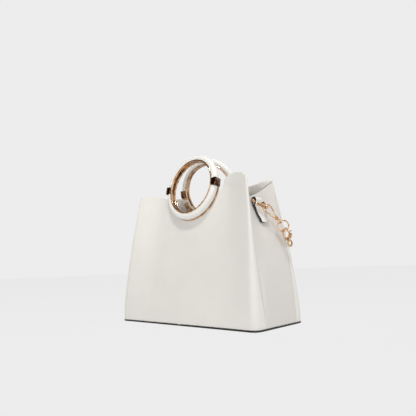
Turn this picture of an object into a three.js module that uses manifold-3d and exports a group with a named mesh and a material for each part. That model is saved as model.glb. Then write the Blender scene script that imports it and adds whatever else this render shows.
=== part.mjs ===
import * as THREE from "three";
import { mergeVertices } from "three/addons/utils/BufferGeometryUtils.js";
import Module from "manifold-3d";

// A small structured leather handbag with two ring handles and a pair of snap hooks on its side tab.
// Millimetres, +Z up, the front at -Y, and the origin at the middle of the underside.

const wasm = await Module();
wasm.setup();

// The body: two panels that wrap round the corners, two folded sides and a flat base.
const BASE_WIDTH = 312;
const BASE_DEPTH = 130;
const HEIGHT = 238;
const TOP_WIDTH = 261;
const TOP_DEPTH = 76;
const MOUTH_DEPTH = 37;
const WALL = 2;
const BASE_THICK = 3;
const BASE_LIP = 0.5;
const GAP = 0.3;
const PLAY = 0.35;
const SEAM_GAP = 0.95;
const CORNER_ROUND = 16;
const SEAM_DEPTH = 84;
const SEAM_TOP_DEPTH = 70;
const SEAM_SPREAD = 6.5;
const SIDE_SWELL = 6.5;
const FACE_SWELL = 5;
const SEAM_SWELL = 2.5;
const SWELL_SKEW = 0.65;
const FOLD_DEPTH = 21;
const VALLEY_TOP = 213;
const SIDE_TOP = 234;
const LEAST_TURN = 0.05;

// The ring handles: a metal band, leather above and below, and two square collars.
const RING_RADIUS = 54;
const GRIP_RADIUS = 6.4;
const BAND_INNER = 48;
const BAND_THICK = 2.6;
const BAND_WIDTH = 12.2;
const BEAD_WIDTH = 2.7;
const GROOVE = 0.9;
const FLANGE_THICK = 1.5;
const FLANGE_PROUD = 0.7;
const COLLAR_LENGTH = 13;
const COLLAR_PROUD = 1;
const BACK_PLATE_WIDTH = 9.6;
const BACK_PLATE_THICK = 1.5;
const BACK_PLATE_DROP = 17;
const RING_DROP = 0.5;
const RING_HEIGHT = HEIGHT - RING_DROP;
const REAR_TURN = 9.5;
const RING_SEGMENTS = 36;
const GRIP_STEPS = 11;
const COVER_STEPS = 8;

// The side tab: a strap folded over into a loop.
const TAB_WIDTH = 17;
const TAB_BOTTOM = 162;
const TAB_CORNER = 4.5;
const TAB_JOIN = 190;
const STRAP_THICK = 2.4;
const LOOP_HEIGHT = 199.5;
const LOOP_HOLE = 2.5;
const LOOP_ROUND = 5;
const TAB_STEPS = 8;

// The hardware that hangs from the tab: two snap hooks, a wire bail, swivel eyes and a round ring.
const PIN_RADIUS = 0.7;
const HUB_RADIUS = 2.1;
const HUB_HEIGHT = 2.2;
const EAR_THICK = 1;
const KNOB_RADIUS = 1.7;
const KNOB_REACH = 4.6;
const KNOB_STEM_SHARE = 0.7;
const TAIL_EYE_RADIUS = 3.3;
const TAIL_EYE_WIRE = 1.2;
const BAIL_WIRE = 1.05;
const BARREL_RADIUS = 3.2;
const BARREL_LENGTH = 4.6;
const BORE_RADIUS = 1.25;
const STEM_RADIUS = 0.9;
const HEAD_RADIUS = 1.5;
const HEAD_THICK = 1;
const EYE_RADIUS = 3.2;
const EYE_WIRE = 0.9;
const JUMP_RING_RADIUS = 8.9;
const JUMP_RING_WIRE = 1.15;
const LINK_PLAY = 0.65;
const CLAW_REACH = 18.7;
const HOOK_B_BARREL_RADIUS = 2.6;
const HOOK_B_BARREL_LENGTH = 3.6;
const LOOP_EYE_RADIUS = 3.9;
const LOOP_EYE_WIRE = 1.4;
const LOOP_EYE_STRETCH = 1.38;
const SIDES = { pin: 8, hub: 12, knob: 8, bore: 12, barrel: 16, link: 14, ring: 16, wire: 6 };

// How far the walls swell, fold and rise. Columns are shares of the sizes above.
const FOLD = [
  { up: 0, inward: 0, crease: 0.86 },
  { up: 0.1, inward: -0.06, crease: 0.86 },
  { up: 0.22, inward: -0.12, crease: 0.86 },
  { up: 0.33, inward: -0.1, crease: 0.76 },
  { up: 0.45, inward: -0.02, crease: 0.46 },
  { up: 0.56, inward: 0.14, crease: 0.29 },
  { up: 0.65, inward: 0.4, crease: 0.27 },
  { up: 0.75, inward: 0.72, crease: 0.27 },
  { up: 0.85, inward: 0.98, crease: 0.27 },
  { up: 1, inward: 1, crease: 0.27 },
];
const TOP_EDGE = [
  { across: 0, frontLeft: 0.937, frontRight: 0.937, backLeft: 0.945, backRight: 0.945 },
  { across: 0.36, frontLeft: 0.937, frontRight: 0.937, backLeft: 0.945, backRight: 0.945 },
  { across: 0.45, frontLeft: 0.938, frontRight: 0.937, backLeft: 0.95, backRight: 0.95 },
  { across: 0.53, frontLeft: 0.951, frontRight: 0.948, backLeft: 0.962, backRight: 0.96 },
  { across: 0.56, frontLeft: 0.954, frontRight: 1.015, backLeft: 0.963, backRight: 0.972 },
  { across: 0.61, frontLeft: 0.96, frontRight: 1.038, backLeft: 0.966, backRight: 0.985 },
  { across: 0.68, frontLeft: 0.968, frontRight: 1.044, backLeft: 0.97, backRight: 0.995 },
  { across: 0.75, frontLeft: 0.977, frontRight: 1.039, backLeft: 0.977, backRight: 1 },
  { across: 0.84, frontLeft: 0.987, frontRight: 1.029, backLeft: 0.988, backRight: 1 },
  { across: 0.92, frontLeft: 0.992, frontRight: 1.017, backLeft: 0.997, backRight: 1 },
  { across: 1, frontLeft: 0.99, frontRight: 0.99, backLeft: 0.992, backRight: 0.992 },
];
const SEAM_TOP_SHARE = 0.965;
const FLAT_SHARE = 0.58;
const TURN_FOOT = 0.1;
const TURN_HEAD = 0.68;
const CORNER_STEPS = 4;
const PANEL_ROWS = 10;
const SIDE_STATIONS = [0, 0.14, 0.27, 0.42, 0.58, 0.74, 0.88, 1];

// The places of the hanging hardware, in millimetres from the middle of the tab's loop:
// x outward from the bag, y backward and z up. They are chosen to match the way it lies.
const CHAIN_ROUTE = {
  bailTop: [15.1, 4.0, -13.2],
  barrel: [25, 17, -31.5],
  jumpRing: [32, 23.6, -43.6],
  hookBarrel: [31.4, 40.5, -67.5],
};
const BAIL_FACING = [-0.885, 0.283, -0.37];
const JUMP_RING_FACING = [0.37, -0.92, -0.15];
const HOOK_B_FACING = [-0.94, 0.22, 0.24];

// The outlines of the wire pieces, in millimetres of their own plane. In each hook the line
// begins at the nose that the gate closes on.
const HOOK_A = {
  slope: 41.8,
  wire: 1.7,
  gateWire: 1.3,
  steps: 16,
  pivot: [-3.2, 14],
  root: [1.8, 16.5],
  rest: [-12.3, 9],
  knobShare: 0.55,
  knobDirection: [-0.6, 0.8],
  outline: [
    [-13.2, 7.2],
    [-14.3, 4.2],
    [-12.8, 1.1],
    [-9, 0],
    [0, 0],
    [8, 0],
    [11.6, 0.8],
    [13.6, 4.2],
    [12.4, 9.6],
    [8.8, 14],
    [5, 15.8],
    [2.1, 17],
  ],
};
const BAIL = {
  steps: 24,
  topBar: [25, 0],
  outline: [
    [0.8, -2.6],
    [4.6, -3.8],
    [12, -5.4],
    [19, -7.4],
    [23.4, -7.2],
    [25, -4],
    [25, 0],
    [25.2, 4.6],
    [23.8, 8.4],
    [19.5, 9.2],
    [12, 6.6],
    [4.6, 3.8],
    [0.8, 2.6],
  ],
};
const HOOK_B = {
  wire: 1.45,
  gateWire: 1.15,
  steps: 18,
  pivot: [5.6, 7.8],
  root: [2.4, 4.2],
  rest: [14.9, 5.2],
  knobShare: 0.5,
  knobDirection: [0.1, 1],
  outline: [
    [15.6, 5],
    [18.8, 4.9],
    [21.8, 3.1],
    [22.9, 0],
    [21.6, -2.9],
    [17, -4.6],
    [10, -5],
    [6.4, -4.7],
    [3.4, -3.8],
    [1.2, -2.4],
  ],
};

const LEATHER = new THREE.MeshStandardMaterial({ color: 0xe2ddd5, roughness: 0.55, metalness: 0 });
const GRIP_LEATHER = new THREE.MeshStandardMaterial({ color: 0xf1eee8, roughness: 0.4, metalness: 0 });
const ROSE_GOLD = new THREE.MeshStandardMaterial({ color: 0xc8966a, roughness: 0.18, metalness: 1 });

const group = new THREE.Group();
const lerp = THREE.MathUtils.lerp;

// Solids

function solidFrom(geometry) {
  const bare = geometry.index ? geometry.toNonIndexed() : geometry.clone();
  bare.deleteAttribute("normal");
  bare.deleteAttribute("uv");
  const merged = mergeVertices(bare, 1e-4);
  const vertProperties = merged.attributes.position.array;
  const triVerts = new Uint32Array(merged.index.array);
  const made = new wasm.Manifold(new wasm.Mesh({ numProp: 3, vertProperties, triVerts }));
  if (made.volume() > 0) return made;
  for (let i = 0; i < triVerts.length; i += 3) {
    [triVerts[i + 1], triVerts[i + 2]] = [triVerts[i + 2], triVerts[i + 1]];
  }
  return new wasm.Manifold(new wasm.Mesh({ numProp: 3, vertProperties, triVerts }));
}

function geometryFrom(solid) {
  const mesh = solid.getMesh();
  const geometry = new THREE.BufferGeometry();
  geometry.setAttribute("position", new THREE.BufferAttribute(new Float32Array(mesh.vertProperties), 3));
  geometry.setIndex(new THREE.BufferAttribute(new Uint32Array(mesh.triVerts), 1));
  const flat = geometry.toNonIndexed();
  flat.computeVertexNormals();
  return flat;
}

function addPiece(parent, name, solid, material) {
  const piece = new THREE.Mesh(geometryFrom(solid), material.clone());
  piece.name = name;
  parent.add(piece);
  return piece;
}

function boxSolid(low, high) {
  const size = high.map((value, axis) => value - low[axis]);
  const box = new THREE.BoxGeometry(...size);
  box.translate(...low.map((value, axis) => value + size[axis] / 2));
  return solidFrom(box);
}

// A closed wall from a grid of outer points and the matching inner points.
function wallSolid(outer, inner) {
  const columns = outer.length;
  const rows = outer[0].length;
  const positions = [];
  const quad = (a, b, c, d) => {
    for (const p of [a, b, c, a, c, d]) positions.push(p.x, p.y, p.z);
  };
  for (let i = 0; i + 1 < columns; i++) {
    for (let j = 0; j + 1 < rows; j++) {
      quad(outer[i][j], outer[i + 1][j], outer[i + 1][j + 1], outer[i][j + 1]);
      quad(inner[i][j + 1], inner[i + 1][j + 1], inner[i + 1][j], inner[i][j]);
    }
    quad(inner[i][0], inner[i + 1][0], outer[i + 1][0], outer[i][0]);
    quad(outer[i][rows - 1], outer[i + 1][rows - 1], inner[i + 1][rows - 1], inner[i][rows - 1]);
  }
  for (let j = 0; j + 1 < rows; j++) {
    quad(inner[0][j], outer[0][j], outer[0][j + 1], inner[0][j + 1]);
    const last = columns - 1;
    quad(outer[last][j], inner[last][j], inner[last][j + 1], outer[last][j + 1]);
  }
  const geometry = new THREE.BufferGeometry();
  geometry.setAttribute("position", new THREE.Float32BufferAttribute(positions, 3));
  return solidFrom(geometry);
}

// The inner side of a wall: each outer point moved in, square to the surface there.
function innerGrid(outer, thickness) {
  return outer.map((column, i) =>
    column.map((point, j) => {
      const before = outer[Math.max(i - 1, 0)][j];
      const after = outer[Math.min(i + 1, outer.length - 1)][j];
      const below = column[Math.max(j - 1, 0)];
      const above = column[Math.min(j + 1, column.length - 1)];
      const normal = after.clone().sub(before).cross(above.clone().sub(below)).normalize();
      const moved = point.clone().addScaledVector(normal, -thickness);
      return j === 0 ? moved.setZ(point.z) : moved;
    }),
  );
}

// A table value at a height, in a straight line between its rows.
function fromTable(table, column, up) {
  const last = table.length - 1;
  if (up <= table[0].up) return table[0][column];
  if (up >= table[last].up) return table[last][column];
  const i = table.findIndex((row) => row.up >= up);
  const share = (up - table[i - 1].up) / (table[i].up - table[i - 1].up);
  return lerp(table[i - 1][column], table[i][column], share);
}

// The body's level sections, for the right front quarter with depth counted forward

function swell(up) {
  return up < 1 ? Math.sin(Math.PI * up ** SWELL_SKEW) : 0;
}

const halfWidth = (up) => lerp(BASE_WIDTH, TOP_WIDTH, up) / 2 + SIDE_SWELL * swell(up);
const cornerDepth = (up) => lerp(BASE_DEPTH, TOP_DEPTH, up) / 2 + FACE_SWELL * swell(up);
const middleDepth = (up) => lerp(BASE_DEPTH, MOUTH_DEPTH, up) / 2;
const seamOut = (up) => lerp(BASE_WIDTH, TOP_WIDTH, up) / 2 + SEAM_SWELL * swell(up);
const seamDepth = (up) =>
  lerp(SEAM_DEPTH, SEAM_TOP_DEPTH, up) / 2 + SEAM_SPREAD * Math.sin(Math.PI * Math.min(up, 1));

// How far a panel is turned about the vertical at a height: fully where it carries the handle.
function turnAt(up, turn) {
  return turn * THREE.MathUtils.smoothstep(up, TURN_FOOT, TURN_HEAD);
}

function faceDepth(x, up, turn) {
  const flat = (FLAT_SHARE * TOP_WIDTH) / 2;
  const share = Math.max((x - flat) / (halfWidth(up) - flat), 0);
  const angle = turnAt(up, turn);
  const offset = Math.min(x, flat) * Math.tan(angle) * (1 - THREE.MathUtils.smoothstep(share, 0, 1));
  return lerp(middleDepth(up) / Math.cos(angle), cornerDepth(up), share * share * (2 - share)) + offset;
}

// The plan point of one column: 0 to 1 across the face, then 1 to 2 round the corner to the seam.
function quarterPoint(station, up, turn = 0) {
  const corner = new THREE.Vector2(halfWidth(up), cornerDepth(up));
  const seam = new THREE.Vector2(seamOut(up), seamDepth(up));
  const round = Math.min(CORNER_ROUND, corner.distanceTo(seam));
  const start = corner.x - round;
  if (station <= 1) return new THREE.Vector2(station * start, faceDepth(station * start, up, turn));
  const arcStart = new THREE.Vector2(start, faceDepth(start, up, turn));
  const arcEnd = corner.clone().lerp(seam, round / corner.distanceTo(seam));
  const share = station - 1;
  const arc = new THREE.QuadraticBezierCurve(arcStart, corner, arcEnd);
  const point = arc.getPoint(share);
  const tail = seam.clone().sub(arcEnd).multiplyScalar(share ** 3);
  return point.add(tail);
}

function panelColumns(left, right) {
  const corner = Array.from({ length: CORNER_STEPS }, (_, i) => {
    const share = (i + 1) / CORNER_STEPS;
    return { station: 1 + share, share };
  });
  const half = (side, key) => [
    ...TOP_EDGE.map((row) => ({ side, station: row.across, top: row[key] })),
    ...corner.map(({ station, share }) => ({
      side,
      station,
      top: lerp(TOP_EDGE[TOP_EDGE.length - 1][key], SEAM_TOP_SHARE, share),
    })),
  ];
  return [...half(-1, left).reverse(), ...half(1, right).slice(1)];
}

const WALL_BOTTOM = BASE_THICK + GAP;

// One panel: facing is -1 at the front and 1 at the back. Its middle may be turned about the vertical.
function panelSolid(facing, left, right, turn) {
  const outer = panelColumns(left, right).map(({ side, station, top }) =>
    Array.from({ length: PANEL_ROWS + 1 }, (_, row) => {
      const z = lerp(WALL_BOTTOM, top * HEIGHT, row / PANEL_ROWS);
      const plan = quarterPoint(station, z / HEIGHT, side * turn);
      return new THREE.Vector3(side * plan.x, facing * plan.y, z);
    }),
  );
  return wallSolid(outer, innerGrid(outer, -facing * WALL));
}

// One folded side, at +X: v runs from the front seam at -1 to the back seam at 1.
function sidePoint(v, z) {
  const up = z / HEIGHT;
  const crease = fromTable(FOLD, "crease", up);
  const share = Math.abs(v) <= crease ? 1 : (1 - Math.abs(v)) / (1 - crease);
  const x = seamOut(up) - FOLD_DEPTH * fromTable(FOLD, "inward", up) * share;
  return new THREE.Vector3(x, v * seamDepth(up), z);
}

function sideTop(v) {
  const crease = FOLD[FOLD.length - 1].crease;
  const share = Math.max((Math.abs(v) - crease) / (1 - crease), 0);
  return lerp(VALLEY_TOP, SIDE_TOP, share);
}

// The side's edge stops short of the panel that wraps round to it, by more where they meet sharply.
function sideEdge(v, z, next) {
  const up = z / HEIGHT;
  const seam = sidePoint(v, z);
  const end = quarterPoint(2, up);
  const before = quarterPoint(2 - 1 / CORNER_STEPS, up);
  const along = end.clone().sub(before).normalize();
  const inward = new THREE.Vector2(-along.y, along.x).multiplyScalar(-1);
  const turn = new THREE.Vector2(next.x - seam.x, Math.abs(next.y) - Math.abs(seam.y));
  turn.normalize();
  const cos = along.dot(turn);
  const sin = Math.max(inward.dot(turn), LEAST_TURN);
  const square = WALL * sin + SEAM_GAP;
  const outerStep = cos > 0 ? square : (WALL + SEAM_GAP) / sin;
  const innerStep = cos > 0 ? square : (WALL * (1 - cos) + SEAM_GAP) / sin;
  const reach = next.clone().sub(seam).normalize();
  return {
    outer: seam.clone().addScaledVector(reach, outerStep),
    inner: seam.clone().addScaledVector(reach, innerStep),
  };
}

function sideSolid() {
  const stations = [...SIDE_STATIONS.slice(1).reverse().map((v) => -v), ...SIDE_STATIONS];
  const heightAt = (v, row) => lerp(WALL_BOTTOM, sideTop(v), row / PANEL_ROWS);
  const outer = stations.map((v) =>
    Array.from({ length: PANEL_ROWS + 1 }, (_, row) => sidePoint(v, heightAt(v, row))),
  );
  const inner = innerGrid(outer, WALL);
  const last = stations.length - 1;
  for (const [edge, next] of [[0, 1], [last, last - 1]]) {
    for (let row = 0; row <= PANEL_ROWS; row++) {
      const step = sideEdge(stations[edge], outer[edge][row].z, outer[next][row]);
      const thick = inner[edge][row].clone().sub(outer[edge][row]);
      outer[edge][row] = step.outer;
      inner[edge][row] = step.inner.add(thick);
    }
  }
  return wallSolid(outer, inner);
}

// The base, whose edge follows the foot of the walls.
function baseSolid() {
  const up = WALL_BOTTOM / HEIGHT;
  const quarter = [];
  for (const row of TOP_EDGE.slice(1)) quarter.push(quarterPoint(row.across, up));
  for (let i = 1; i <= CORNER_STEPS; i++) quarter.push(quarterPoint(1 + i / CORNER_STEPS, up));
  const outline = [];
  const signs = [[1, -1], [1, 1], [-1, 1], [-1, -1]];
  for (const [sx, sy] of signs) {
    const points = quarter.map((p) => new THREE.Vector2(sx * (p.x + BASE_LIP), sy * (p.y + BASE_LIP)));
    outline.push(...(sx * sy < 0 ? points : points.reverse()));
  }
  const geometry = new THREE.ExtrudeGeometry(new THREE.Shape(outline), {
    depth: BASE_THICK,
    bevelEnabled: false,
  });
  return solidFrom(geometry);
}

// Handles, in a frame whose own -Y faces out of the bag and whose own Z runs up the panel

const LEAN = Math.atan2((BASE_DEPTH - MOUTH_DEPTH) / 2, HEIGHT);
const BAND_OUTER = BAND_INNER + BAND_THICK;
const FRAME_BACK = BAND_WIDTH / 2;
const PANEL_FACE = FRAME_BACK + GAP;
const GRIP_OUTER = RING_RADIUS + GRIP_RADIUS;
const REACH = 2 * GRIP_OUTER;

function ringSolid(profile) {
  const points = [...profile, profile[0]].map(([radius, along]) => new THREE.Vector2(radius, along));
  return solidFrom(new THREE.LatheGeometry(points, RING_SEGMENTS));
}

function bandProfile() {
  const rim = FRAME_BACK - BEAD_WIDTH;
  return [
    [BAND_INNER + GROOVE / 2, -FRAME_BACK],
    [BAND_INNER, -FRAME_BACK + GROOVE],
    [BAND_INNER, -rim],
    [BAND_INNER + GROOVE, -rim + GROOVE],
    [BAND_INNER + GROOVE, rim - GROOVE],
    [BAND_INNER, rim],
    [BAND_INNER, FRAME_BACK - GROOVE],
    [BAND_INNER + GROOVE / 2, FRAME_BACK],
    [BAND_OUTER, FRAME_BACK],
    [BAND_OUTER, -FRAME_BACK],
  ];
}

// A round section that stops at the band, and behind at the given depth.
function gripProfile(back) {
  const seat = BAND_OUTER + GAP;
  const open = Math.acos((seat - RING_RADIUS) / GRIP_RADIUS);
  const close = back < GRIP_RADIUS ? Math.asin(back / GRIP_RADIUS) : open;
  const steps = back < GRIP_RADIUS ? COVER_STEPS : GRIP_STEPS;
  const profile = Array.from({ length: steps + 1 }, (_, i) => {
    const angle = lerp(-open, close, i / steps);
    return [RING_RADIUS + GRIP_RADIUS * Math.cos(angle), GRIP_RADIUS * Math.sin(angle)];
  });
  if (back < GRIP_RADIUS) profile.push([seat, back]);
  return profile;
}

const rectangle = (near, far, front, back) => [
  [near, front],
  [near, back],
  [far, back],
  [far, front],
];

// The part of a ring above or below a level of its own frame.
const above = (level) => boxSolid([-REACH, -REACH, level], [REACH, REACH, REACH]);
const below = (level) => boxSolid([-REACH, -REACH, -REACH], [REACH, REACH, level]);

function addHandle(parent, side) {
  const cut = COLLAR_LENGTH / 2 + GAP;
  const flangeFront = FRAME_BACK - FLANGE_THICK;
  const flange = ringSolid(
    rectangle(BAND_OUTER - GROOVE, GRIP_OUTER + FLANGE_PROUD, flangeFront, FRAME_BACK),
  );
  const band = ringSolid(bandProfile());
  addPiece(parent, side + "_ring_frame", band.add(flange.intersect(below(-cut))), ROSE_GOLD);
  const grip = ringSolid(gripProfile(GRIP_RADIUS));
  addPiece(parent, side + "_ring_grip", grip.intersect(above(cut)), GRIP_LEATHER);
  const cover = ringSolid(gripProfile(flangeFront - GAP));
  addPiece(parent, side + "_ring_cover", cover.intersect(below(-cut)), GRIP_LEATHER);
  const half = GRIP_RADIUS + COLLAR_PROUD;
  const collar = ringSolid(rectangle(BAND_OUTER + GAP, RING_RADIUS + half, -half, half));
  for (const [name, sign] of [["left", -1], ["right", 1]]) {
    const low = [Math.min(0, sign * REACH), -REACH, -COLLAR_LENGTH / 2];
    const high = [Math.max(0, sign * REACH), REACH, COLLAR_LENGTH / 2];
    addPiece(parent, side + "_collar_" + name, collar.intersect(boxSolid(low, high)), ROSE_GOLD);
  }
  const plateFront = PANEL_FACE + WALL + GAP;
  const plateInner = BAND_INNER + GAP;
  const plate = ringSolid(
    rectangle(plateInner, plateInner + BACK_PLATE_WIDTH, plateFront, plateFront + BACK_PLATE_THICK),
  );
  addPiece(parent, side + "_back_plate", plate.intersect(below(-BACK_PLATE_DROP)), ROSE_GOLD);
}

const handleDepth = middleDepth(RING_HEIGHT / HEIGHT) + PANEL_FACE / Math.cos(LEAN);
const frontHandle = new THREE.Group();
frontHandle.position.set(0, -handleDepth, RING_HEIGHT);
frontHandle.rotation.x = -LEAN;
addHandle(frontHandle, "front");
const rearTurn = new THREE.Group();
const rearAngle = THREE.MathUtils.degToRad(REAR_TURN);
rearTurn.rotation.z = Math.PI + rearAngle;
const rearHandle = new THREE.Group();
rearHandle.position.copy(frontHandle.position);
rearHandle.rotation.copy(frontHandle.rotation);
rearTurn.add(rearHandle);
addHandle(rearHandle, "rear");
group.add(frontHandle, rearTurn);

// The hole that a panel has inside its ring, on its own side of the bag.
function ringHole(turn) {
  const hole = new THREE.CylinderGeometry(BAND_INNER + GAP, BAND_INNER + GAP, REACH, RING_SEGMENTS);
  hole.applyMatrix4(new THREE.Matrix4().makeRotationX(-LEAN));
  hole.translate(0, -handleDepth, RING_HEIGHT);
  const half = solidFrom(hole).intersect(boxSolid([-REACH, -REACH, 0], [REACH, 0, 2 * HEIGHT]));
  return half.rotate([0, 0, turn]);
}

const frontPanel = panelSolid(-1, "frontLeft", "frontRight", 0);
const backPanel = panelSolid(1, "backLeft", "backRight", rearAngle);
addPiece(group, "front_panel", frontPanel.subtract(ringHole(0)), LEATHER);
addPiece(group, "back_panel", backPanel.subtract(ringHole(180 + REAR_TURN)), LEATHER);
addPiece(group, "base_panel", baseSolid(), LEATHER);
addPiece(group, "side_right", sideSolid(), LEATHER);

// The tab: one strap that lies on the middle of the side and folds over at the top
function tabSeat(z) {
  const step = (VALLEY_TOP - WALL_BOTTOM) / PANEL_ROWS;
  const row = Math.floor((z - WALL_BOTTOM) / step);
  const foot = WALL_BOTTOM + row * step;
  return lerp(sidePoint(0, foot).x, sidePoint(0, foot + step).x, (z - foot) / step) + GAP;
}

const loopX = tabSeat(LOOP_HEIGHT) + LOOP_ROUND;

// The tab as seen from the side of the bag, with its two lower corners rounded.
function tabFace() {
  const half = TAB_WIDTH / 2;
  const outline = new THREE.Shape();
  outline.moveTo(half, HEIGHT);
  outline.lineTo(-half, HEIGHT);
  outline.lineTo(-half, TAB_BOTTOM + TAB_CORNER);
  outline.absarc(TAB_CORNER - half, TAB_BOTTOM + TAB_CORNER, TAB_CORNER, Math.PI, 1.5 * Math.PI);
  outline.absarc(half - TAB_CORNER, TAB_BOTTOM + TAB_CORNER, TAB_CORNER, -Math.PI / 2, 0);
  const face = new THREE.ExtrudeGeometry(outline, {
    depth: BASE_WIDTH,
    bevelEnabled: false,
    curveSegments: CORNER_STEPS,
  });
  face.rotateX(Math.PI / 2);
  face.rotateZ(Math.PI / 2);
  return solidFrom(face);
}

function tabSolid() {
  const outline = new THREE.Shape();
  outline.moveTo(tabSeat(TAB_BOTTOM), TAB_BOTTOM);
  outline.lineTo(tabSeat(TAB_BOTTOM) + 2 * STRAP_THICK, TAB_BOTTOM);
  outline.lineTo(tabSeat(TAB_JOIN) + 2 * STRAP_THICK, TAB_JOIN);
  outline.lineTo(loopX + LOOP_ROUND, LOOP_HEIGHT);
  outline.absarc(loopX, LOOP_HEIGHT, LOOP_ROUND, 0, Math.PI, false);
  for (let row = PANEL_ROWS - 1; row > 0; row--) {
    const z = lerp(WALL_BOTTOM, VALLEY_TOP, row / PANEL_ROWS);
    if (z < LOOP_HEIGHT && z > TAB_BOTTOM) outline.lineTo(tabSeat(z), z);
  }
  const hole = new THREE.Path();
  hole.absarc(loopX, LOOP_HEIGHT, LOOP_HOLE, 0, 2 * Math.PI, true);
  outline.holes.push(hole);
  const strap = new THREE.ExtrudeGeometry(outline, {
    depth: TAB_WIDTH,
    bevelEnabled: false,
    curveSegments: TAB_STEPS,
  });
  strap.rotateX(Math.PI / 2);
  strap.translate(0, TAB_WIDTH / 2, 0);
  return solidFrom(strap).intersect(tabFace());
}

addPiece(group, "tab_right", tabSolid(), GRIP_LEATHER);
const leftTurn = new THREE.Group();
leftTurn.rotation.z = Math.PI;
addPiece(leftTurn, "side_left", sideSolid(), LEATHER);
addPiece(leftTurn, "tab_left", tabSolid(), GRIP_LEATHER);
group.add(leftTurn);

// The hanging hardware

const loopCentre = new THREE.Vector3(loopX, 0, LOOP_HEIGHT);
const vector = (numbers) => new THREE.Vector3(...numbers);
const placeOf = (name) => vector(CHAIN_ROUTE[name]).add(loopCentre);

// A frame at a place, with its own X toward a second place and its own Z near a facing.
function frameToward(origin, target, facing) {
  const x = target.clone().sub(origin).normalize();
  const z = facing.clone().addScaledVector(x, -facing.dot(x)).normalize();
  const y = z.clone().cross(x);
  const holder = new THREE.Group();
  holder.applyMatrix4(new THREE.Matrix4().makeBasis(x, y, z).setPosition(origin));
  holder.updateMatrixWorld(true);
  group.add(holder);
  return holder;
}

// A short drum that stands on the plane of a hook at the given place.
function disc([along, across], radius, low, high, sides) {
  const drum = new THREE.CylinderGeometry(radius, radius, high - low, sides);
  drum.rotateX(Math.PI / 2);
  drum.translate(along, across, (low + high) / 2);
  return solidFrom(drum);
}

// A drum whose axis is the frame's own X.
function drumAlong(radius, low, high, sides) {
  const drum = new THREE.CylinderGeometry(radius, radius, high - low, sides);
  drum.rotateZ(Math.PI / 2);
  drum.translate((low + high) / 2, 0, 0);
  return solidFrom(drum);
}

function wireSolid(points, radius, steps) {
  const curve = new THREE.CatmullRomCurve3(points.map(([x, y]) => new THREE.Vector3(x, y, 0)));
  const section = new THREE.Shape();
  section.absarc(0, 0, radius, 0, 2 * Math.PI, false);
  return solidFrom(
    new THREE.ExtrudeGeometry(section, {
      extrudePath: curve,
      steps,
      curveSegments: SIDES.wire / 2,
      bevelEnabled: false,
    }),
  );
}

// A flat ear with round ends, between two places and two levels.
function earBetween(from, to, low, high) {
  const direction = Math.atan2(to[1] - from[1], to[0] - from[0]);
  const quarter = Math.PI / 2;
  const outline = new THREE.Shape();
  outline.absarc(...to, HUB_RADIUS, direction - quarter, direction + quarter, false);
  outline.absarc(...from, HUB_RADIUS, direction + quarter, direction + 3 * quarter, false);
  const ear = new THREE.ExtrudeGeometry(outline, {
    depth: high - low,
    bevelEnabled: false,
    curveSegments: SIDES.hub / 2,
  });
  ear.translate(0, 0, low);
  return solidFrom(ear);
}

// The fixed part of a hook: its wire, and two ears with a pin that carry the gate.
function hookBody({ outline, wire, steps, root, pivot }) {
  const inside = HUB_HEIGHT / 2 + GAP;
  const outside = inside + EAR_THICK;
  return wireSolid(outline, wire, steps)
    .add(disc(pivot, PIN_RADIUS, -outside, outside, SIDES.pin))
    .add(disc(root, HUB_RADIUS, -outside, outside, SIDES.hub))
    .add(earBetween(root, pivot, inside, outside))
    .add(earBetween(root, pivot, -outside, -inside));
}

// The moving gate: a bored hub, an arm that rests by the nose, and a thumb knob on its outer side.
function hookGate({ pivot, rest, gateWire, knobShare, knobDirection }) {
  const half = HUB_HEIGHT / 2;
  const hub = disc(pivot, HUB_RADIUS, -half, half, SIDES.hub);
  const bore = disc(pivot, PIN_RADIUS + PLAY, -HUB_HEIGHT, HUB_HEIGHT, SIDES.pin);
  const knobBase = pivot.map((value, axis) => lerp(value, rest[axis], knobShare));
  const knobTop = knobBase.map((value, axis) => value + knobDirection[axis] * KNOB_REACH);
  const knob = new THREE.SphereGeometry(KNOB_RADIUS, SIDES.knob, SIDES.wire);
  knob.translate(...knobTop, 0);
  return wireSolid([pivot, rest], gateWire, 1)
    .intersect(disc(pivot, REACH, -half, half, SIDES.hub))
    .add(wireSolid([knobBase, knobTop], gateWire * KNOB_STEM_SHARE, 1))
    .add(solidFrom(knob))
    .add(hub)
    .subtract(bore);
}

// An eye that turns in a barrel: a ring, a stem through the bore and a head that holds it in.
// The barrel runs from the given low end to its high end along the frame's own X.
function swivelEye(centre, radius, wire, stretch, high) {
  const ring = new THREE.TorusGeometry(radius, wire, SIDES.wire, SIDES.link);
  ring.scale(stretch, 1, 1);
  ring.translate(centre, 0, 0);
  const top = high + GAP + HEAD_THICK;
  return solidFrom(ring)
    .add(drumAlong(STEM_RADIUS, centre + radius * stretch, top, SIDES.bore))
    .add(drumAlong(HEAD_RADIUS, top - HEAD_THICK, top, SIDES.bore));
}

// Hook A, whose long side runs through the tab's loop and whose tail eye holds the bail
const slope = THREE.MathUtils.degToRad(HOOK_A.slope);
const hookA = new THREE.Group();
const hookAOut = new THREE.Vector3(Math.cos(slope), 0, -Math.sin(slope));
const hookAAlong = new THREE.Vector3(0, 1, 0);
const hookABasis = new THREE.Matrix4().makeBasis(hookAAlong, hookAOut, hookAAlong.clone().cross(hookAOut));
hookA.applyMatrix4(hookABasis.setPosition(loopCentre));
hookA.updateMatrixWorld(true);
group.add(hookA);
const bailFrame = frameToward(placeOf("barrel"), placeOf("bailTop"), vector(BAIL_FACING));
const tailEye = new THREE.TorusGeometry(TAIL_EYE_RADIUS, TAIL_EYE_WIRE, SIDES.wire, SIDES.link);
tailEye.rotateX(Math.PI / 2);
tailEye.translate(...BAIL.topBar, 0);
tailEye.applyMatrix4(bailFrame.matrixWorld);
tailEye.applyMatrix4(hookA.matrixWorld.clone().invert());
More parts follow.
